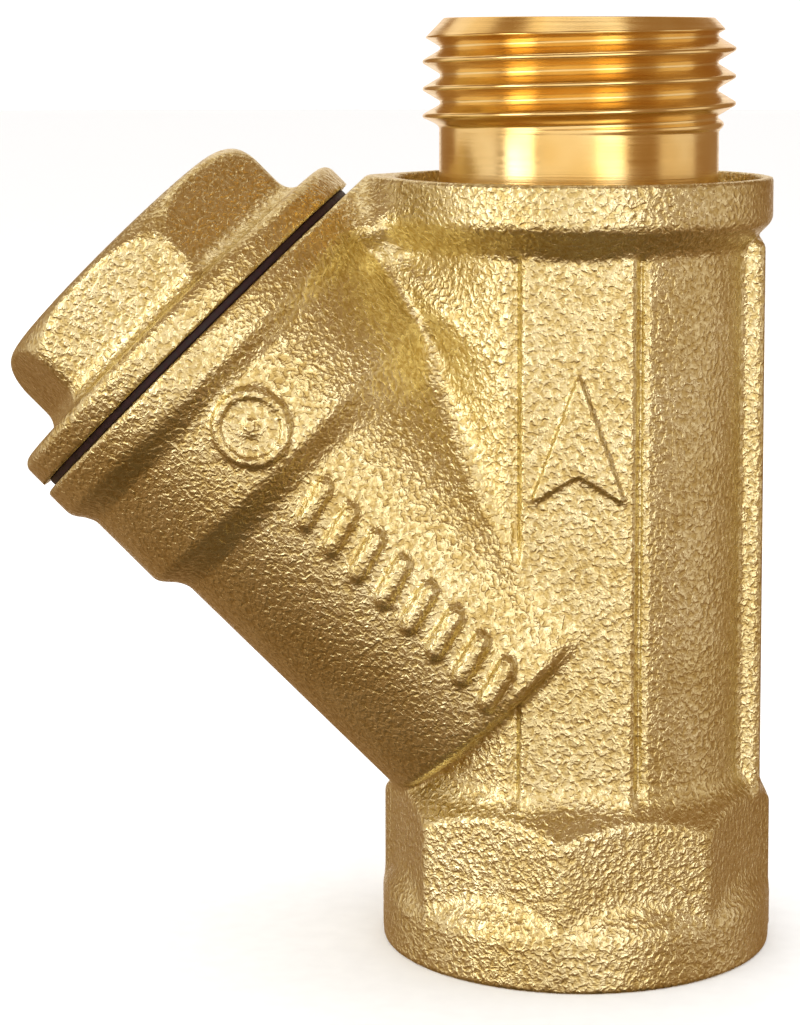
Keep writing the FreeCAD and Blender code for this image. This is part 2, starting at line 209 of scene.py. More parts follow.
def run_outside(x, y, z, radius):
    """Inlet end with its rim and octagon, barrel with its pads and rib, and collar."""
    rim = rounded_rod(radius, z, RIM_RADIUS - 0.06, 0, RIM_TOP + 2.8, 0.2)
    rim = soft_max(rim, cone(radius, z, RIM_RADIUS, RIM_TOP, 0.88, 0.47), 0.3)
    apothem = RIM_RADIUS * math.cos(TURN / 16)
    octagon = regular_prism(x, y, 8, apothem, OCTAGON_TURN, 0.18)
    octagon = soft_max(octagon, radius - RIM_RADIUS, 0.12)
    octagon = soft_max(octagon, cone(radius, z, RIM_RADIUS, SHOULDER_FOOT, 0.74, 0.67), 0.2)
    octagon = soft_max(octagon, z - SHOULDER_TOP, 0.5)
    wrench = soft_min(rim, np.maximum(octagon, 1 - z), 0.3)

    barrel = np.maximum(radius - BARREL_RADIUS, np.maximum(1 - z, z - CUP_FLOOR + 0.5))
    middle, half = (PAD_BOTTOM + PAD_TOP) / 2, (PAD_TOP - PAD_BOTTOM) / 2
    beyond_pads = np.abs(y) - PAD_FACE
    barrel = soft_max(barrel, beyond_pads, 0.2)
    pads = soft_max(rounded_box(x, z - middle, PAD_HALF_WIDTH, half, 0.4), beyond_pads, 0.35)
    rib = soft_max(rounded_box(y, z - middle, RIB_HALF_WIDTH, half, 0.6), x - RIB_FACE, 0.7)
    barrel = soft_min(soft_min(barrel, pads, 0.45), np.maximum(rib, -x), 0.5)
    groove = np.exp(-((np.abs(x) - PAD_HALF_WIDTH - 0.2) / GROOVE_WIDTH) ** 2)
    barrel = barrel + GROOVE_DEPTH * groove * (1 - smooth_step(np.abs(z - middle), half - 1, half))

    collar = rounded_rod(radius, z, COLLAR_RADIUS, COLLAR_BOTTOM, COLLAR_TOP, 0.25)
    collar = soft_max(collar, cone(radius, z, COLLAR_RADIUS, COLLAR_EDGE, 0.7, -0.7), 0.3)
    return soft_min(soft_min(wrench, barrel, 0.8), collar, 0.35)


def branch_outside(from_axis, across, along):
    """Branch barrel, the wider barrel round the cap's thread, and the mouth's flange.

    The step to the wider barrel softens towards the run, across the branch.
    """
    barrel_radius = BRANCH_RADIUS + BRANCH_TAPER * (along - MOUTH_BARREL_START / 2)
    barrel = rounded_rod(from_axis, along, barrel_radius, BRANCH_START, MOUTH_LEVEL - 2, 0.95)
    mouth = rounded_rod(from_axis, along, MOUTH_BARREL_RADIUS,
                        MOUTH_BARREL_START, MOUTH_LEVEL - 1, 0.6)
    step = cone(from_axis, along, MOUTH_BARREL_RADIUS, MOUTH_BARREL_EDGE, 0.7475, -0.65)
    mouth = soft_max(mouth, step, 0.3)
    flange = rounded_rod(from_axis, along, MOUTH_FLANGE_RADIUS,
                         MOUTH_FLANGE_START, MOUTH_LEVEL, 0.25)
    step = cone(from_axis, along, MOUTH_FLANGE_RADIUS, MOUTH_FLANGE_EDGE, 0.78, -0.6)
    flange = soft_max(flange, step, 0.3)
    softness = 0.5 + 1.6 * smooth_step(across, 3, 10)
    return soft_min(soft_min(barrel, mouth, softness), flange, 0.5)


ARROW = [(0, 33.4), (2.85, 31.7), (0.05, 39.6), (-2.85, 31.7)]
ARROW_HEIGHT = 0.55
BADGE_ACROSS, BADGE_ALONG, BADGE_RADIUS, BADGE_HEIGHT = 0.58, 29.7, 2.55, 0.4
BADGE_BORDER, BUTTON_RADIUS = 0.62, 1.05
BAR_COUNT, BAR_FIRST, BAR_SPACING = 8, 7.0, 16.4 / 7
BAR_RADIUS, BAR_HALF_HEIGHT, BAR_MIDDLE, BAR_LEAN = 0.74, 1.2, -0.25, 0.26


def add_relief(solid, x, y, z, across, along, from_axis):
    """Flow arrow on the front pad; a plain badge and a row of plain bars on the branch's front."""
    arrow = soft_max(polygon(x, z, ARROW) - 0.1, -y - PAD_FACE - ARROW_HEIGHT, 0.15)
    solid = soft_min(solid, np.maximum(arrow, y), 0.18)

    from_centre = np.hypot((across - BADGE_ACROSS) * 1.04, along - BADGE_ALONG)
    badge = soft_max(from_centre - BADGE_RADIUS,
                     from_axis - MOUTH_BARREL_RADIUS - BADGE_HEIGHT, 0.3)
    field = np.maximum(from_centre - BADGE_RADIUS + BADGE_BORDER,
                       MOUTH_BARREL_RADIUS + 0.08 - from_axis)
    badge = soft_cut(badge, field, 0.2)
    button = np.hypot(from_centre, (from_axis - MOUTH_BARREL_RADIUS + 0.9) * 0.8) - BUTTON_RADIUS
    solid = soft_min(solid, np.maximum(soft_min(badge, button, 0.2), y), 0.3)

    leaned = along - BAR_FIRST - (across - BAR_MIDDLE) * BAR_LEAN
    bar = np.clip(np.round(leaned / BAR_SPACING), 0, BAR_COUNT - 1)
    end = np.maximum(np.abs(across - BAR_MIDDLE) - BAR_HALF_HEIGHT, 0)
    side, depth = leaned - bar * BAR_SPACING, from_axis - BRANCH_RADIUS + 0.2
    bars = np.sqrt(end ** 2 + side ** 2 + depth ** 2) - BAR_RADIUS
    return soft_min(solid, np.maximum(bars, y), 0.2)


# The room cut for a threaded lining that is made apart, and the hairline gap left round it.
THREAD_ROOM = 0.33
SEAM = 0.01


def cut_passages(solid, radius, z, from_axis, along):
    """Machined passages, with room for the threaded linings."""
    inlet = np.maximum(radius - PIPE_MAJOR - THREAD_ROOM, z - INLET_DEPTH)
    passage = np.maximum(radius - PASSAGE_RADIUS, z - PASSAGE_TOP)
    outlet = np.maximum(radius - PASSAGE_RADIUS, OUTLET_FLOOR - z)
    nipple = np.maximum(radius - SHANK_RADIUS - SEAM, CUP_FLOOR - 1 - z)
    cup = np.maximum(radius - CUP_RADIUS, CUP_FLOOR - z)
    seat = np.maximum(from_axis - SEAT_RADIUS, -4 - along)
    recess = np.maximum(from_axis - SEAT_RECESS_RADIUS, SCREEN_SEAT - along)
    chamber = np.maximum(from_axis - CHAMBER_RADIUS, CHAMBER_FLOOR - along)
    mouth = np.maximum(from_axis - CAP_MAJOR - THREAD_ROOM, CAP_THREAD_FLOOR - along)
    for tool in (inlet, passage, outlet, nipple, cup, seat, recess, chamber, mouth):
        solid = soft_cut(solid, tool)
    return solid


def forging(x, y, z):
    """The whole forged body, with a softly filled crotch and a faint parting line."""
    radius = np.hypot(x, y)
    across, along = branch_coordinates(x, z)
    from_axis = np.hypot(across, y)
    crotch = 0.6 + 1.1 * smooth_step(across, 5, 11) + 3.6 * smooth_step(across, 11.5, 14)
    solid = soft_min(run_outside(x, y, z, radius), branch_outside(from_axis, across, along), crotch)
    solid = solid - PARTING_LINE_HEIGHT * np.exp(-(y / PARTING_LINE_WIDTH) ** 2)
    solid = np.maximum(solid, -z)
    solid = add_relief(solid, x, y, z, across, along, from_axis)
    solid = np.maximum(solid, along - MOUTH_LEVEL)
    solid = np.maximum(solid, z - COLLAR_TOP)
    return cut_passages(solid, radius, z, from_axis, along)


def cap_forging(x, y, z):
    """The cap without its thread, in the branch's frame."""
    radius = np.hypot(x, y)
    flange = rounded_rod(radius, z, CAP_FLANGE_RADIUS, GASKET_TOP - 1, CAP_FLANGE_TOP, 0.75)
    hexagon = regular_prism(x, y, 6, HEXAGON_APOTHEM, HEXAGON_TURN, 0.4)
    dome = rounded_rod(radius, z, HEXAGON_CIRCLE, GASKET_TOP, CAP_TOP, 2.7)
    head = soft_max(hexagon, dome, 0.3)
    solid = np.maximum(soft_min(flange, head, 1.5), GASKET_TOP - z)
    spigot = np.maximum(radius - CAP_MINOR + THREAD_ROOM,
                        np.maximum(CAP_END - z, z - GASKET_TOP - 1))
    solid = np.minimum(solid, spigot)
    socket = np.maximum(radius - SOCKET_RADIUS, z - SOCKET_FLOOR)
    hollow = np.maximum(radius - HOLLOW_RADIUS, z - HOLLOW_FLOOR)
    return soft_cut(soft_cut(solid, socket), hollow, 0.8)


# ---- Meshes -------------------------------------------------------------------------------------

def sample(field, axes):
    """The field on a grid, worked out a few layers at a time to save memory."""
    shape = [len(axis) for axis in axes]
    values = np.empty(shape, np.float32)
    y, z = axes[1][None, :, None], axes[2][None, None, :]
    layers = 24
    for start in range(0, shape[0], layers):
        x = axes[0][start:start + layers, None, None]
        values[start:start + layers] = field(x, y, z)
    return values


def surface_net(field, low, high, step):
    """Points and four-sided faces where the field is zero: one point in each cell it crosses."""
    axes = [np.arange(a, b + step, step, dtype=np.float32) for a, b in zip(low, high)]
    values = sample(field, axes)
    inside = values < 0
    corners = [(i, j, k) for i in (0, 1) for j in (0, 1) for k in (0, 1)]
    cells = tuple(size - 1 for size in values.shape)

    def corner_view(array, corner):
        return array[tuple(slice(c, c + n) for c, n in zip(corner, cells))]

    count = sum(corner_view(inside, corner).astype(np.int8) for corner in corners)
    active = np.argwhere((count > 0) & (count < 8))
    index = np.full(cells, -1, np.int32)
    index[tuple(active.T)] = np.arange(len(active))

    unit = np.eye(3, dtype=np.float32)
    total = np.zeros((len(active), 3), np.float32)
    crossings = np.zeros(len(active), np.float32)
    for corner in corners:
        for axis in range(3):
            if corner[axis]:
                continue
            other = tuple(c + (n == axis) for n, c in enumerate(corner))
            a = values[tuple((active + corner).T)]
            b = values[tuple((active + other).T)]
            crossed = (a < 0) != (b < 0)
            share = np.where(crossed, a / np.where(crossed, a - b, 1), 0)
            place = np.array(corner, np.float32) + share[:, None] * unit[axis]
            total += np.where(crossed[:, None], place, 0)
            crossings += crossed
    points = np.array(low) + (active + total / crossings[:, None]) * step

    faces = []
    for axis in range(3):
        first, second = [n for n in range(3) if n != axis]
        lower = inside[tuple(slice(0, -1) if n == axis else slice(1, -1) for n in range(3))]
        upper = inside[tuple(slice(1, None) if n == axis else slice(1, -1) for n in range(3))]
        edges = np.argwhere(lower != upper)
        outward = lower[tuple(edges.T)]
        base = edges + np.array([0 if n == axis else 1 for n in range(3)])
        ring = []
        for back_first, back_second in ((1, 1), (0, 1), (0, 0), (1, 0)):
            cell = base.copy()
            cell[:, first] -= back_first
            cell[:, second] -= back_second
            ring.append(index[tuple(cell.T)])
        quads = np.stack(ring, axis=1)
        flip = outward if axis == 1 else ~outward
        quads[flip] = quads[flip][:, ::-1]
        faces.append(quads)
    return points, np.concatenate(faces)


def settle(field, points, step, rounds=3):
    """Move points onto the surface along the field's slope."""
    small = step / 8
    for _ in range(rounds):
        here = field(*points.T)
        slope = np.stack([(field(*(points + move).T) - field(*(points - move).T)) / (2 * small)
                          for move in np.eye(3) * small], axis=1)
        size = np.maximum((slope ** 2).sum(axis=1), 0.2)
        shift = -slope * (here / size)[:, None]
        length = np.linalg.norm(shift, axis=1, keepdims=True)
        points = points + shift * np.minimum(1, 0.5 * step / np.maximum(length, 1e-9))
    return points


def mesh_object(name, points, faces, body, replaces, slot, material, place=None, smooth=True):
    """A mesh that rides on a body and stands for a CAD node.

    Its points are in millimetres, in the CAD's frame, or in the frame that place gives.
    """
    mesh = bpy.data.meshes.new(name)
    points = np.asarray(points, np.float64) * METRES
    if place is not None:
        turn, shift = np.array(place.to_3x3()), np.array(place.translation)
        points = points @ turn.T + shift
    if isinstance(faces, np.ndarray):
        mesh.vertices.add(len(points))
        mesh.vertices.foreach_set("co", points.astype(np.float32).ravel())
        mesh.loops.add(faces.size)
        mesh.loops.foreach_set("vertex_index", faces.astype(np.int32).ravel())
        mesh.polygons.add(len(faces))
        mesh.polygons.foreach_set("loop_start", np.arange(0, faces.size, 4, dtype=np.int32))
        mesh.update(calc_edges=True)
    else:
        mesh.from_pydata(points.tolist(), [], faces)
    mesh.validate()
    mesh.polygons.foreach_set("use_smooth", np.full(len(mesh.polygons), smooth))
    mesh.materials.append(material)
    piece = bpy.data.objects.new(name, mesh)
    bpy.context.scene.collection.objects.link(piece)
    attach(piece, body)
    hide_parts(replaces)
    return piece


def field_object(name, field, low, high, step, *details, place=None):
    points, faces = surface_net(field, low, high, step)
    points = settle(field, points, step)
    return mesh_object(name, points, faces, *details, place=place)


def closed_sweep(loop_at, segments):
    """A ring: loop_at(angle) gives a closed loop of (radius, level), joined from angle to angle."""
    angles = np.arange(segments) * TURN / segments
    loops = [np.asarray(loop_at(angle), float) for angle in angles]
    count = len(loops[0])
    points = np.concatenate([
        np.stack([loop[:, 0] * math.cos(angle), loop[:, 0] * math.sin(angle), loop[:, 1]], axis=1)
        for angle, loop in zip(angles, loops)])
    ring, along = np.meshgrid(np.arange(segments), np.arange(count), indexing="ij")
    ring, along = ring.ravel(), along.ravel()
    next_ring, next_along = (ring + 1) % segments, (along + 1) % count
    faces = np.stack([ring * count + along, next_ring * count + along,
                      next_ring * count + next_along, ring * count + next_along], axis=1)
    return points, faces


# ---- Threaded pieces ----------------------------------------------------------------------------

ROWS_PER_PITCH = 26
THREAD_SEGMENTS = 180
FLANK_STEEPNESS, CREST_ROUNDING = 1.3, 0.16
# How far the mouth's thread stands out from the cap's nominal thread, and the cap's stands in.
MOUTH_THREAD_PLAY, CAP_THREAD_PLAY = 0.12, 0.06


def threaded_levels(low, high, pitch):
    return np.linspace(low, high, int((high - low) / pitch * ROWS_PER_PITCH) + 1)


def thread_radii(levels, angle, major, minor, pitch, crest_turn=0.0):
    """The radius at each level of a right-hand thread, with its roots and crests rounded."""
    phase = levels / pitch - angle / TURN - crest_turn
    ramp = 1 - 4 * np.abs(phase - np.round(phase))
    wave = soft_max(soft_min(ramp * FLANK_STEEPNESS, 1.0, CREST_ROUNDING), -1.0, CREST_ROUNDING)
    return (major + minor) / 2 + (major - minor) / 2 * wave


def outlet_nipple_loop(angle):
    """Shank, G1/2 thread and bore of the outlet nipple."""
    levels = threaded_levels(SHANK_TOP - 0.4, RUN_LENGTH, PIPE_PITCH)
    radii = thread_radii(levels, angle, PIPE_MAJOR, PIPE_MINOR, PIPE_PITCH, PIPE_CREST_TURN)
    risen = smooth_step(levels, SHANK_TOP + 0.3, SHANK_TOP + 1.3)
    radii = SHANK_RADIUS + (radii - SHANK_RADIUS) * risen
    radii = soft_min(radii, 9.05 + (RUN_LENGTH - levels) * 0.95, 0.06)
    low = CUP_FLOOR - 0.95
    shank = [(SHANK_RADIUS, low), (SHANK_RADIUS, CUP_FLOOR - 0.02),
             (SHANK_RADIUS + 0.12, CUP_FLOOR + 0.02), (SHANK_RADIUS, CUP_FLOOR + 0.3),
             (SHANK_RADIUS, 52)]
    lip = [(radii[-1] - 0.1, RUN_LENGTH), (PASSAGE_RADIUS + 0.55, RUN_LENGTH),
           (PASSAGE_RADIUS, RUN_LENGTH - 0.5), (PASSAGE_RADIUS, low)]
    return shank + list(zip(radii, levels)) + lip


def inlet_thread_loop(angle):
    """G1/2 female thread lining the inlet, with its lead-in chamfer."""
    wall, depth_end = PIPE_MAJOR + THREAD_ROOM - SEAM, INLET_DEPTH - SEAM
    levels = threaded_levels(0, depth_end, PIPE_PITCH)[::-1]
    radii = thread_radii(levels, angle, PIPE_MAJOR, PIPE_MINOR, PIPE_PITCH, PIPE_CREST_TURN)
    radii = radii + (PIPE_MAJOR - radii) * smooth_step(levels, depth_end - 1.4, depth_end - 0.9)
    radii = soft_max(radii, PIPE_MAJOR + 0.2 - levels, 0.08)
    return [(wall, 0), (wall, depth_end)] + list(zip(radii, levels))


def branch_thread_loop(angle):
    """Female thread lining the branch's mouth."""
    wall = CAP_MAJOR + THREAD_ROOM - SEAM
    low, high = CAP_THREAD_FLOOR + SEAM, MOUTH_LEVEL
    levels = threaded_levels(low, high, CAP_PITCH)[::-1]
    radii = thread_radii(levels, angle, CAP_MAJOR, CAP_MINOR, CAP_PITCH) + MOUTH_THREAD_PLAY
    radii = soft_max(radii, CAP_MAJOR + 0.25 - (high - levels), 0.08)
    return [(wall, low), (wall, high)] + list(zip(radii, levels))


def cap_thread_loop(angle):
    """Male thread round the cap's spigot, ending in an undercut below the flange."""
    wall, high = CAP_MINOR - THREAD_ROOM + SEAM, GASKET_TOP - SEAM
    levels = threaded_levels(CAP_END, high, CAP_PITCH)
    radii = thread_radii(levels, angle, CAP_MAJOR, CAP_MINOR, CAP_PITCH) - CAP_THREAD_PLAY
    undercut = CAP_MINOR - 0.1
    radii = radii + (undercut - radii) * smooth_step(levels, high - 1.5, high - 1.0)
    radii = soft_min(radii, CAP_MINOR - 0.1 + (levels - CAP_END), 0.08)
    return list(zip(radii, levels)) + [(wall, high), (wall, CAP_END)]


# ---- Gasket and screen --------------------------------------------------------------------------

def rounded_loop(corners, radius, steps=4):
    """A closed outline of (radius, level) corners, each rounded with an arc."""
    loop = []
    count = len(corners)
    for index in range(count):
        corner = Vector(corners[index])
        before = (Vector(corners[index - 1]) - corner).normalized()
        after = (Vector(corners[(index + 1) % count]) - corner).normalized()
        for step in range(steps + 1):
            share = step / steps
            start, end = corner + before * radius, corner + after * radius
            bend = start * (1 - share) ** 2 + corner * 2 * share * (1 - share) + end * share ** 2
            loop.append(tuple(bend))
    return loop


def perforated_tube(outer, inner, low, high, holes_round, rows, hole_radius):
    """A tube with staggered round holes: each cell is a square ring of faces round its hole."""
    around = 16
    height = (high - low) / rows
    width = TURN / holes_round
    points, faces, lookup = [], [], {}

    def point(angle, level, radius):
        key = (round(angle / width * 8) % (holes_round * 8), round(level, 4), radius)
        if key not in lookup:
            lookup[key] = len(points)
            points.append((radius * math.cos(angle), radius * math.sin(angle), level))
        return lookup[key]

    def border(step):
        """A point of the cell's edge, from -1 to 1 each way, as step goes round it."""
        position = step / around * 4
        side, share = int(position) % 4, position - int(position)
        run = -1 + 2 * share
        return [(1, run), (-run, 1), (-1, -run), (run, -1)][side]

    for row in range(rows):
        level = low + (row + 0.5) * height
        for column in range(holes_round):
            angle = (column + 0.5 * (row % 2)) * width
            rings = []
            for radius in (outer, inner):
                edge = [point(angle + border(s)[0] * width / 2,
                              level + border(s)[1] * height / 2, radius) for s in range(around)]
                hole = []
                for s in range(around):
                    spin = math.atan2(border(s)[1], border(s)[0])
                    hole.append(len(points))
                    bend = angle + hole_radius * math.cos(spin) / radius
                    points.append((radius * math.cos(bend), radius * math.sin(bend),
                                   level + hole_radius * math.sin(spin)))
                rings.append((edge, hole))
            (outer_edge, outer_hole), (inner_edge, inner_hole) = rings
            for s in range(around):
                after = (s + 1) % around
                faces.append((outer_edge[s], outer_edge[after], outer_hole[after], outer_hole[s]))
                faces.append((inner_edge[after], inner_edge[s], inner_hole[s], inner_hole[after]))
                faces.append((outer_hole[s], outer_hole[after], inner_hole[after], inner_hole[s]))
    for end, level in ((0, low), (1, high)):
        for step in range(holes_round * 4):
            angles = (step * width / 4, (step + 1) * width / 4)
            quad = [point(angles[0], level, outer), point(angles[1], level, outer),
                    point(angles[1], level, inner), point(angles[0], level, inner)]
            faces.append(tuple(quad if end else quad[::-1]))
    return points, faces


def woven_lining(radius, low, high, lengthwise, hoops, wire):
    """Plain-woven wire cloth rolled into a tube: wires along it and hoops round it."""
    points, faces = [], []
    sides = 6

    def tube(path, frames, closed):
        start = len(points)
        for centre, (side, out) in zip(path, frames):
            for corner in range(sides):
                spin = corner * TURN / sides
                offset = (side * math.cos(spin) + out * math.sin(spin)) * wire / 2
                points.append(tuple(centre + offset))
        count = len(path)
        for ring in range(count if closed else count - 1):
            here, there = start + ring * sides, start + (ring + 1) % count * sides
            for corner in range(sides):
                turned = (corner + 1) % sides
                faces.append((here + corner, here + turned, there + turned, there + corner))
        if not closed:
            faces.append(tuple(start + corner for corner in range(sides))[::-1])
            faces.append(tuple(start + (count - 1) * sides + corner for corner in range(sides)))

    spacing = (high - low) / hoops
    for wire_index in range(lengthwise):
        angle = wire_index * TURN / lengthwise
        out = Vector((math.cos(angle), math.sin(angle), 0))
        side = Vector((-math.sin(angle), math.cos(angle), 0))
        path = []
        for step in range(hoops * 2 + 1):
            level = low + step * spacing / 2
            weave = 0.45 * wire * math.sin(math.pi * (step / 2 + wire_index) + math.pi / 2)
            path.append(out * (radius + weave) + Vector((0, 0, level)))
        tube(path, [(side, out)] * len(path), False)
    for hoop in range(hoops + 1):
        path, frames = [], []
        for step in range(lengthwise * 2):
            angle = step * TURN / (lengthwise * 2)
            out = Vector((math.cos(angle), math.sin(angle), 0))
            weave = -0.45 * wire * math.cos(math.pi * (hoop + step / 2))
            path.append(out * (radius + weave) + Vector((0, 0, low + hoop * spacing)))
            frames.append((Vector((0, 0, 1)), out))
        tube(path, frames, True)
    return points, faces


# ---- Materials ----------------------------------------------------------------------------------

class Shader:
    """A small helper for building a material's nodes in order."""

    def __init__(self, name, base, roughness, metallic):
        self.material = bpy.data.materials.new(name)
        self.material.use_nodes = True
        self.nodes = self.material.node_tree.nodes
        self.links = self.material.node_tree.links
        self.surface = self.nodes["Principled BSDF"]
        self.surface.inputs["Base Color"].default_value = (*base, 1)
        self.surface.inputs["Roughness"].default_value = roughness
        self.surface.inputs["Metallic"].default_value = metallic
        coordinates = self.nodes.new("ShaderNodeTexCoord")
        scale = self.nodes.new("ShaderNodeVectorMath")
        scale.operation = "SCALE"
        scale.inputs["Scale"].default_value = 1 / METRES
        self.links.new(coordinates.outputs["Object"], scale.inputs[0])
        self.place = scale.outputs["Vector"]

    def stretched(self, x, y, z):
        """The place in millimetres, multiplied along each axis."""
        node = self.nodes.new("ShaderNodeVectorMath")
        node.operation = "MULTIPLY"
        node.inputs[1].default_value = (x, y, z)
        self.links.new(self.place, node.inputs[0])
        return node.outputs["Vector"]

    def noise(self, size, detail=2.0, roughness=0.5, distortion=0.0, place=None):
        """Noise whose lumps are about size millimetres across."""
        node = self.nodes.new("ShaderNodeTexNoise")
        node.inputs["Scale"].default_value = 1 / size
        node.inputs["Detail"].default_value = detail
        node.inputs["Roughness"].default_value = roughness
        node.inputs["Distortion"].default_value = distortion
        self.links.new(place or self.place, node.inputs["Vector"])
        return node.outputs["Fac"]

    def ramp(self, value, *stops):
        """Colours or greys at positions from 0 to 1."""
        node = self.nodes.new("ShaderNodeValToRGB")
        elements = node.color_ramp.elements
        while len(elements) < len(stops):
            elements.new(0.5)
        for element, (position, colour) in zip(elements, stops):
            element.position = position
            grey = isinstance(colour, (int, float))
            element.color = (colour, colour, colour, 1) if grey else (*colour, 1)
        self.links.new(value, node.inputs["Fac"])
        return node.outputs["Color"]

    def mix(self, share, first, second):
        node = self.nodes.new("ShaderNodeMix")
        node.data_type = "RGBA"
        for socket, value in ((node.inputs["Factor"], share), (node.inputs["A"], first),
                              (node.inputs["B"], second)):
            self.links.new(value, socket)
        return node.outputs["Result"]

    def bump(self, value, height, normal=None):
        """Raise the surface by value times height millimetres."""
        node = self.nodes.new("ShaderNodeBump")
        node.inputs["Distance"].default_value = height * METRES
        node.inputs["Strength"].default_value = 1.0
        self.links.new(value, node.inputs["Height"])
        if normal:
            self.links.new(normal, node.inputs["Normal"])
        return node.outputs["Normal"]

    def finish(self, colour=None, roughness=None, normal=None):
        for socket, value in (("Base Color", colour), ("Roughness", roughness), ("Normal", normal)):
            if value is not None:
                self.links.new(value, self.surface.inputs[socket])
        return self.material


def forged_brass():
    """Shot-blasted forged brass: a fine wrinkled skin with slow changes of tone, with painted shade
    in the wrinkles' hollows and a painted highlight on their ridges.
    """
    shader = Shader("forged_brass", (0.72, 0.52, 0.22), 0.36, 1.0)
    tone = shader.noise(7.0, detail=3.0)
    wrinkles = shader.noise(0.34, detail=1.5, distortion=0.45)
    grains = shader.noise(0.15, detail=1.0, distortion=0.2)
    # Painted shade and highlight: the colour is darker in the wrinkles' hollows and lighter on
    # their ridges, following the same noise as the bump.
    hollow = shader.ramp(tone, (0.32, (0.55, 0.405, 0.135)), (0.68, (0.68, 0.55, 0.23)))
    ridge_painted_highlight = shader.ramp(tone, (0.32, (0.79, 0.69, 0.35)), (0.68, (0.87, 0.80, 0.49)))
    height = shader.ramp(wrinkles, (0.36, 0.0), (0.62, 1.0))
    colour = shader.mix(height, hollow, ridge_painted_highlight)
    skin = shader.bump(wrinkles, 0.14)
    skin = shader.bump(grains, 0.022, normal=skin)
    rough = shader.ramp(wrinkles, (0.36, 0.42), (0.62, 0.27))
    return shader.finish(colour, rough, skin)


def turned_brass():
    """Machined brass: smooth, with fine lines round the run's axis."""
    shader = Shader("turned_brass", (0.86, 0.60, 0.24), 0.2, 1.0)
    tone = shader.noise(5.0, detail=2.0)
    colour = shader.ramp(tone, (0.35, (0.82, 0.56, 0.19)), (0.65, (0.92, 0.72, 0.34)))
    lines = shader.noise(1.0, detail=3.0, roughness=0.6, place=shader.stretched(0.05, 0.05, 9.0))
    skin = shader.bump(lines, 0.006)
    rough = shader.ramp(lines, (0.3, 0.16), (0.7, 0.27))
    return shader.finish(colour, rough, skin)


def bored_brass():
    """Machined brass of the branch's threads, seen in any direction."""
    shader = Shader("bored_brass", (0.84, 0.60, 0.26), 0.24, 1.0)
    tone = shader.noise(1.2, detail=4.0)
    colour = shader.ramp(tone, (0.35, (0.78, 0.52, 0.20)), (0.65, (0.90, 0.68, 0.34)))
    skin = shader.bump(tone, 0.01)
    return shader.finish(colour, shader.ramp(tone, (0.3, 0.18), (0.7, 0.3)), skin)


def gasket_fibre():
    """Dark maroon fibre with a dull, slightly mottled skin."""
    shader = Shader("gasket_fibre", (0.03, 0.008, 0.01), 0.6, 0.0)
    mottle = shader.noise(0.35, detail=4.0)
    colour = shader.ramp(mottle, (0.3, (0.009, 0.002, 0.003)), (0.7, (0.032, 0.006, 0.009)))
    rough = shader.ramp(mottle, (0.3, 0.5), (0.7, 0.75))
    return shader.finish(colour, rough, shader.bump(mottle, 0.03))


def stainless_steel():
    """Thin stainless sheet and wire with a soft brushed grain."""
    shader = Shader("stainless_steel", (0.60, 0.59, 0.57), 0.3, 1.0)
    grain = shader.noise(0.5, detail=4.0)
    colour = shader.ramp(grain, (0.3, (0.50, 0.49, 0.47)), (0.7, (0.70, 0.69, 0.67)))
    rough = shader.ramp(grain, (0.3, 0.22), (0.7, 0.38))
    return shader.finish(colour, rough, shader.bump(grain, 0.008))


def studio_floor():
    """Pale matt paper with the faintest tooth."""
    shader = Shader("studio_floor", (0.86, 0.86, 0.86), 0.9, 0.0)
    tooth = shader.noise(1.5, detail=3.0)
    colour = shader.ramp(tooth, (0.3, (0.85, 0.85, 0.845)), (0.7, (0.88, 0.88, 0.875)))
    return shader.finish(colour)


def studio_wall():
    """Pale paper lit evenly from behind."""
    shader = Shader("studio_wall", (0.0, 0.0, 0.0), 1.0, 0.0)
    drift = shader.noise(900.0, detail=1.0)
    glow = shader.ramp(drift, (0.3, (0.97, 0.97, 0.97)), (0.7, (1.0, 1.0, 1.0)))
    shader.links.new(glow, shader.surface.inputs["Emission Color"])
    shader.surface.inputs["Emission Strength"].default_value = 1.22
    return shader.material


# ---- The strainer's pieces ----------------------------------------------------------------------

VOXEL = 0.24
FORGING_SPACE = (-37.5, -16, -1), (14.5, 16, 53)
CAP_SPACE = (-16, -16, 28.5), (16, 16, 46)
FORGED, TURNED, BORED = forged_brass(), turned_brass(), bored_brass()
GASKET_SKIN, STEEL = gasket_fibre(), stainless_steel()

field_object("body_forging", forging, *FORGING_SPACE, VOXEL,
             "body", "body", "forged_brass", FORGED)
mesh_object("outlet_nipple", *closed_sweep(outlet_nipple_loop, THREAD_SEGMENTS),
            "body", "body", "forged_brass", TURNED)
mesh_object("inlet_thread", *closed_sweep(inlet_thread_loop, THREAD_SEGMENTS),
            "body", "body", "forged_brass", TURNED)
mesh_object("branch_thread", *closed_sweep(branch_thread_loop, THREAD_SEGMENTS),
            "body", "body", "forged_brass", BORED, place=BRANCH)

field_object("cap_forging", cap_forging, *CAP_SPACE, VOXEL,
             "cap", "cap", "forged_brass", FORGED, place=BRANCH)
mesh_object("cap_thread", *closed_sweep(cap_thread_loop, THREAD_SEGMENTS),
            "cap", "cap", "forged_brass", BORED, place=BRANCH)

GASKET_LOW, GASKET_HIGH = MOUTH_LEVEL + 0.02, GASKET_TOP - 0.02
GASKET_EDGES = [(GASKET_BORE, GASKET_LOW), (GASKET_RADIUS, GASKET_LOW),
                (GASKET_RADIUS, GASKET_HIGH), (GASKET_BORE, GASKET_HIGH)]
mesh_object("gasket_ring",
            *closed_sweep(lambda angle: rounded_loop(GASKET_EDGES, 0.12), GASKET_SEGMENTS),
            "gasket", "gasket", "gasket_rubber", GASKET_SKIN, place=BRANCH)

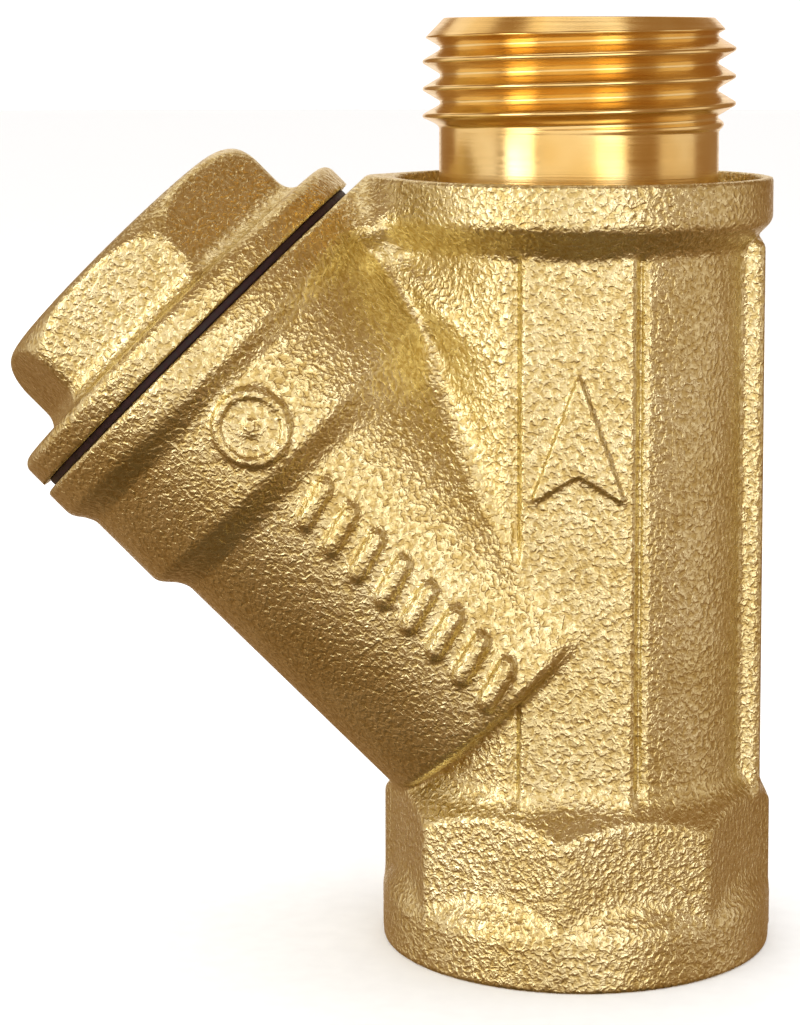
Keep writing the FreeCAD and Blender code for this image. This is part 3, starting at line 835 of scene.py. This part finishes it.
TUBE_LOW, TUBE_HIGH = SCREEN_SEAT + 0.3, SCREEN_END - 0.3
TUBE = perforated_tube(TUBE_RADIUS, TUBE_BORE, TUBE_LOW, TUBE_HIGH,
                       HOLES_ROUND, HOLE_ROWS, HOLE_RADIUS)
mesh_object("perforated_tube", *TUBE,
            "screen", "screen_support_tube", "stainless", STEEL, place=BRANCH, smooth=False)
LINING = woven_lining(LINING_RADIUS, TUBE_LOW + 0.1, TUBE_HIGH - 0.1, WIRES_ALONG, WIRE_HOOPS, WIRE)
mesh_object("wire_lining", *LINING,
            "screen", "screen_lining", "stainless", STEEL, place=BRANCH)


def end_ring(end, inward):
    """Pressed ring: a lip over the tube's end and a sleeve round it; inward is 1 or -1."""
    lip, sleeve = end + inward * 0.3, end + inward * RING_LENGTH
    inner = RING_RADIUS - SHEET + 0.02
    corners = [(LIP_RADIUS, end), (RING_RADIUS, end), (RING_RADIUS, sleeve), (inner, sleeve),
               (inner, lip), (LIP_RADIUS, lip)]
    return rounded_loop(corners, 0.09)


mesh_object("inner_end_ring", *closed_sweep(lambda angle: end_ring(SCREEN_SEAT, 1), RING_SEGMENTS),
            "screen", "screen_inner_ring", "stainless", STEEL, place=BRANCH)
mesh_object("outer_end_ring", *closed_sweep(lambda angle: end_ring(SCREEN_END, -1), RING_SEGMENTS),
            "screen", "screen_outer_ring", "stainless", STEEL, place=BRANCH)


# ---- Studio -------------------------------------------------------------------------------------

def backdrop():
    """A pale floor inside a pale round tent, which metal doesn't reflect."""
    segments, radius, height = 64, 2500, 1600
    points, faces = [(0, 0, 0)], []
    for level in (0, height):
        for step in range(segments):
            angle = step * TURN / segments
            points.append((radius * math.cos(angle), radius * math.sin(angle), level))
    points.append((0, 0, height))
    for step in range(segments):
        first, second = step + 1, (step + 1) % segments + 1
        faces.append((0, first, second))
        faces.append((second, first, first + segments, second + segments))
        faces.append((second + segments, first + segments, len(points) - 1))
    mesh = bpy.data.meshes.new("backdrop")
    mesh.from_pydata([tuple(value * METRES for value in point) for point in points], [], faces)
    mesh.materials.append(studio_floor())
    mesh.materials.append(studio_wall())
    for face in mesh.polygons:
        face.material_index = 0 if 0 in face.vertices[:] else 1
    paper = bpy.data.objects.new("backdrop", mesh)
    paper.visible_glossy = False
    bpy.context.scene.collection.objects.link(paper)


def softbox(name, place, aim, width, height, power):
    """A rectangular studio light at place, facing aim, both in millimetres."""
    light = bpy.data.lights.new(name, "AREA")
    light.shape = "RECTANGLE"
    light.size, light.size_y = width * METRES, height * METRES
    light.energy = power
    lamp = bpy.data.objects.new(name, light)
    lamp.location = Vector(place) * METRES
    lamp.rotation_euler = (Vector(aim) - Vector(place)).to_track_quat("-Z", "Y").to_euler()
    bpy.context.scene.collection.objects.link(lamp)


def around(azimuth, elevation, distance):
    """A place seen from the strainer; azimuth 0 is in front, and positive to the right."""
    side, up = math.radians(azimuth), math.radians(elevation)
    level = math.cos(up)
    return Vector((math.sin(side) * level, -math.cos(side) * level, math.sin(up))) * distance


# Name, azimuth and elevation in degrees, width and height in millimetres, and brightness.
LIGHTS = [
    ("front", 2, 4, 590, 560, 0.64),
    ("left_strip", -48, 8, 190, 400, 2.4),
    ("right_strip", 27, 8, 190, 380, 1.1),
    ("left_fill", -95, 2, 440, 400, 0.5),
    ("right_fill", 88, 2, 320, 380, 0.42),
    ("top", 0, 98, 300, 200, 0.9),
    ("back", 180, 4, 360, 420, 0.6),
    ("back_left", -150, 45, 300, 240, 0.65),
    ("back_right", 165, 42, 240, 200, 0.35),
]
LIGHT_DISTANCE = 450
LIGHT_POWER = 4
STUDIO_MIDDLE = Vector((-8, 0, 32))

# The world that metal sees between the lights: dim straight below, warmer all round and above.
WORLD_BELOW, WORLD_ABOVE = (0.12, 0.075, 0.035), (0.355, 0.205, 0.10)
DIM_BELOW, WARM_ABOVE = -0.95, -0.6


def lights():
    """The softboxes. Brightness is per area: LIGHT_POWER watts a square metre where it is 1."""
    for name, azimuth, elevation, width, height, brightness in LIGHTS:
        place = STUDIO_MIDDLE + around(azimuth, elevation, LIGHT_DISTANCE)
        area = width * height * METRES ** 2
        softbox(name, place, STUDIO_MIDDLE, width, height, LIGHT_POWER * area * brightness)


def world():
    """A background that goes from one colour to the other as its direction rises."""
    surroundings = bpy.data.worlds.new("studio")
    surroundings.use_nodes = True
    nodes, links = surroundings.node_tree.nodes, surroundings.node_tree.links
    direction = nodes.new("ShaderNodeTexCoord")
    parts = nodes.new("ShaderNodeSeparateXYZ")
    rise = nodes.new("ShaderNodeMapRange")
    rise.inputs["From Min"].default_value = DIM_BELOW
    rise.inputs["From Max"].default_value = WARM_ABOVE
    blend = nodes.new("ShaderNodeMix")
    blend.data_type = "RGBA"
    blend.inputs["A"].default_value = (*WORLD_BELOW, 1)
    blend.inputs["B"].default_value = (*WORLD_ABOVE, 1)
    links.new(direction.outputs["Generated"], parts.inputs[0])
    links.new(parts.outputs["Z"], rise.inputs["Value"])
    links.new(rise.outputs["Result"], blend.inputs["Factor"])
    links.new(blend.outputs["Result"], nodes["Background"].inputs["Color"])
    bpy.context.scene.world = surroundings


def camera():
    """Close in front of the run, a little above its collar, turned towards the branch."""
    data = bpy.data.cameras.new("camera")
    data.sensor_width = 36.0
    data.lens = 94.29
    data.shift_x, data.shift_y = -0.05, -0.2
    data.clip_start = 0.005
    eye = bpy.data.objects.new("camera", data)
    eye.location = Vector((-0.84, -180.6, 60.49)) * METRES
    eye.rotation_euler = (math.radians(90 - 5.521), 0, math.radians(2.447))
    bpy.context.scene.collection.objects.link(eye)
    bpy.context.scene.camera = eye


backdrop()
lights()
world()
camera()
bpy.context.scene.view_settings.view_transform = "Standard"
bpy.context.scene.view_settings.look = "None"
